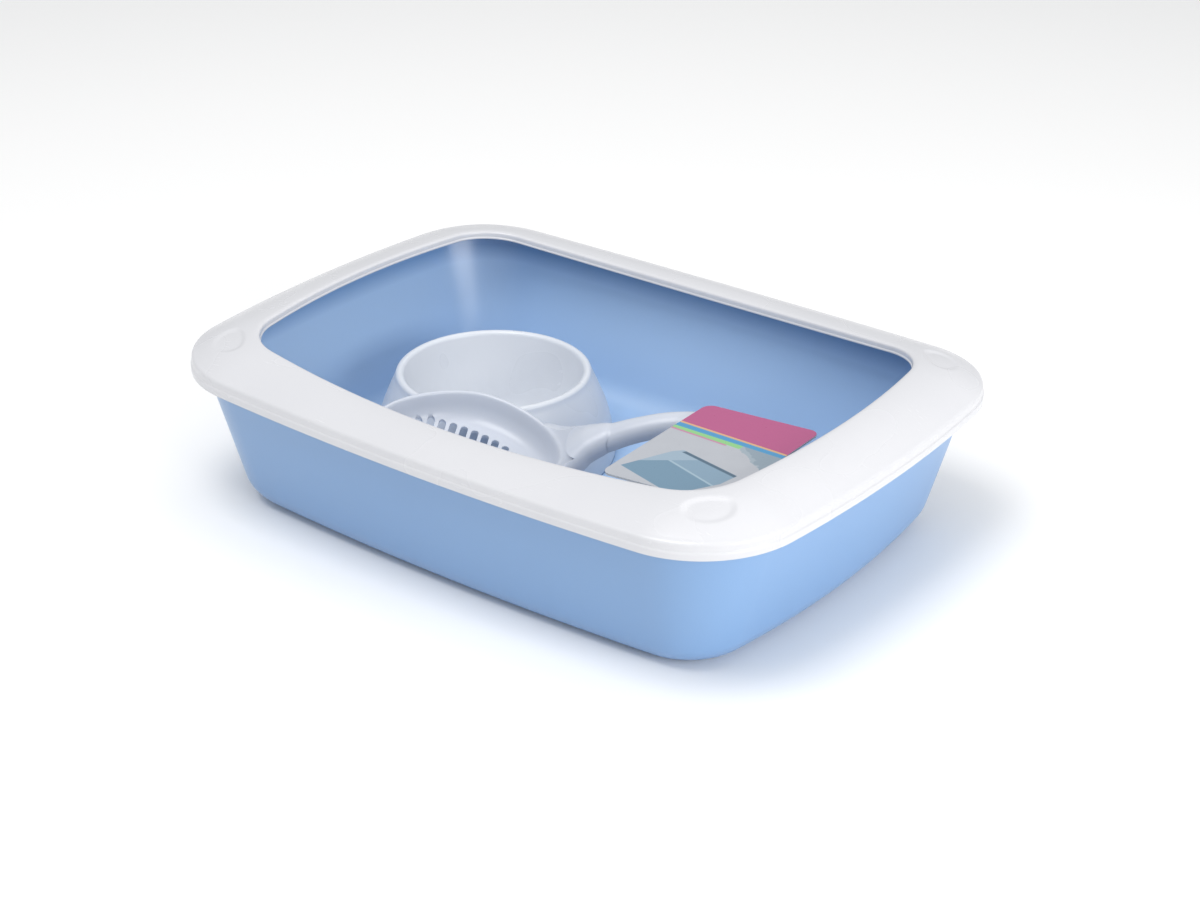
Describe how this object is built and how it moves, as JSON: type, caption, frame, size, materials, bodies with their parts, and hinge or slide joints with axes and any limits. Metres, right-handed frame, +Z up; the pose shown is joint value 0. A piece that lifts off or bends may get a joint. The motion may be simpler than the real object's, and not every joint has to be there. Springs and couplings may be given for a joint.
{
  "type": "cat litter tray set",
  "caption": "Open cat litter tray with rounded drafted walls, a clip-on rim with a sloping top, and a feeding bowl, slotted litter scoop and printed card packed inside.",
  "frame": {"origin": "centre of the footprint, on the surface that the tray stands on", "axes": "+X along the tray's length, +Y across it, +Z up"},
  "size_m": [0.42, 0.3, 0.1051],
  "materials": {
    "tray_blue": "satin moulded polypropylene",
    "rim_white": "satin moulded polypropylene",
    "bowl_white": "polished moulded polypropylene",
    "scoop_white": "satin moulded polypropylene",
    "card_print": "coated printed card"
  },
  "bodies": {
    "tray": {"litter_tray": "tray_blue"},
    "rim": {"rim_frame": "rim_white"},
    "bowl": {"food_bowl": "bowl_white"},
    "scoop": {"litter_scoop": "scoop_white"},
    "card": {"info_card": "card_print"}
  },
  "joints": [
    {"name": "rim_lift", "type": "slide", "parent": "tray", "child": "rim", "axis": [0, 0, 1], "range_m": [0, 0.12]},
    {"name": "bowl_lift", "type": "slide", "parent": "tray", "child": "bowl", "axis": [0, 0, 1], "range_m": [0, 0.15]},
    {"name": "scoop_lift", "type": "slide", "parent": "bowl", "child": "scoop", "axis": [0, 0, 1], "range_m": [0, 0.12]},
    {"name": "card_lift", "type": "slide", "parent": "scoop", "child": "card", "axis": [0, 0, 1], "range_m": [0, 0.12]}
  ]
}
